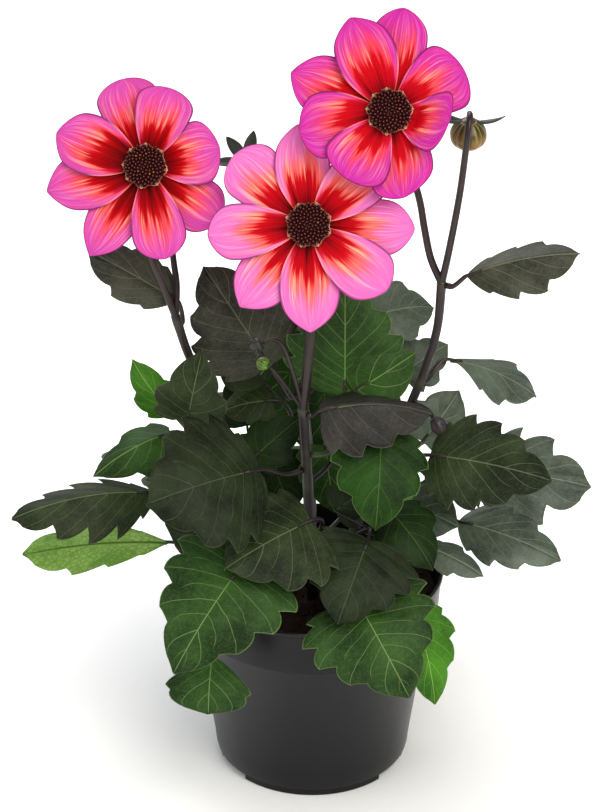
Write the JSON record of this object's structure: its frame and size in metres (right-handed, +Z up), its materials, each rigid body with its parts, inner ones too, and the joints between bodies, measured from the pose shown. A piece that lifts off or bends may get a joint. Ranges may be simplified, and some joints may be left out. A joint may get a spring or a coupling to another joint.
{
  "type": "potted dahlia",
  "caption": "Single-flowered dahlia in a round tapered nursery pot: dark branching stems, toothed leaves, open blooms with a dark disc, and closed buds.",
  "frame": {"origin": "middle of the pot's flat underside, on the surface that the pot stands on", "axes": "+Z up along the pot's axis, -Y towards the side that the blooms face, +X to the right as seen from there"},
  "size_m": [0.3666, 0.2665, 0.5135],
  "materials": {
    "pot": "satin moulded plastic with fine scuffs",
    "peat": "rough crumbly peat",
    "stem": "satin skin, dark maroon with reddish joints",
    "leaf_dark": "satin dark bronze green with paler veins",
    "leaf_green": "satin mid green with paler veins",
    "leaf_bright": "satin bright green of young leaves",
    "leaf_pale": "matt pale underside with a dark net of veins",
    "petal": "matt magenta, coral in the middle and deep red at the base",
    "disc": "matt near black maroon with red brown tips",
    "cup": "satin green bracts",
    "bud": "satin bronze green bud scales with pale ribs"
  },
  "bodies": {
    "root": {"pot": "pot", "peat": "peat", "stem_a": "stem", "stem_b": "stem", "stem_c": "stem", "stem_d": "stem", "bloom_left_petals": "petal", "bloom_left_disc": "disc", "bloom_left_cup": "cup", "bloom_middle_petals": "petal", "bloom_middle_disc": "disc", "bloom_middle_cup": "cup", "bloom_right_petals": "petal", "bloom_right_disc": "disc", "bloom_right_cup": "cup", "bud_nodding": "bud", "bud_hooked": "cup", "bud_green": "leaf_bright", "bud_striped": "disc", "bud_back": "bud", "bud_star": "cup", "leaf_a1": "leaf_dark", "leaf_a2": "leaf_dark", "leaf_a5": "leaf_dark", "leaf_a10": "leaf_dark", "leaf_b1": "leaf_dark", "leaf_b4": "leaf_dark", "leaf_b5": "leaf_dark", "leaf_b6": "leaf_dark", "leaf_c1": "leaf_dark", "leaf_c2": "leaf_dark", "leaf_c3": "leaf_dark", "leaf_c5": "leaf_dark", "leaf_c6": "leaf_dark", "leaf_c12": "leaf_dark", "leaf_d1": "leaf_dark", "leaf_d2": "leaf_dark", "leaf_d3": "leaf_dark", "leaf_d5": "leaf_dark", "leaf_a4": "leaf_green", "leaf_a7": "leaf_green", "leaf_a8": "leaf_green", "leaf_a9": "leaf_green", "leaf_b2": "leaf_green", "leaf_b7": "leaf_green", "leaf_b8": "leaf_green", "leaf_c4": "leaf_green", "leaf_c7": "leaf_green", "leaf_c8": "leaf_green", "leaf_c9": "leaf_green", "leaf_c11": "leaf_green", "leaf_d4": "leaf_green", "leaf_d6": "leaf_green", "leaf_d7": "leaf_green", "leaf_a3": "leaf_bright", "leaf_b3": "leaf_bright", "leaf_c10": "leaf_bright", "leaf_d8": "leaf_bright", "leaf_a6": "leaf_pale"}
  },
  "joints": []
}
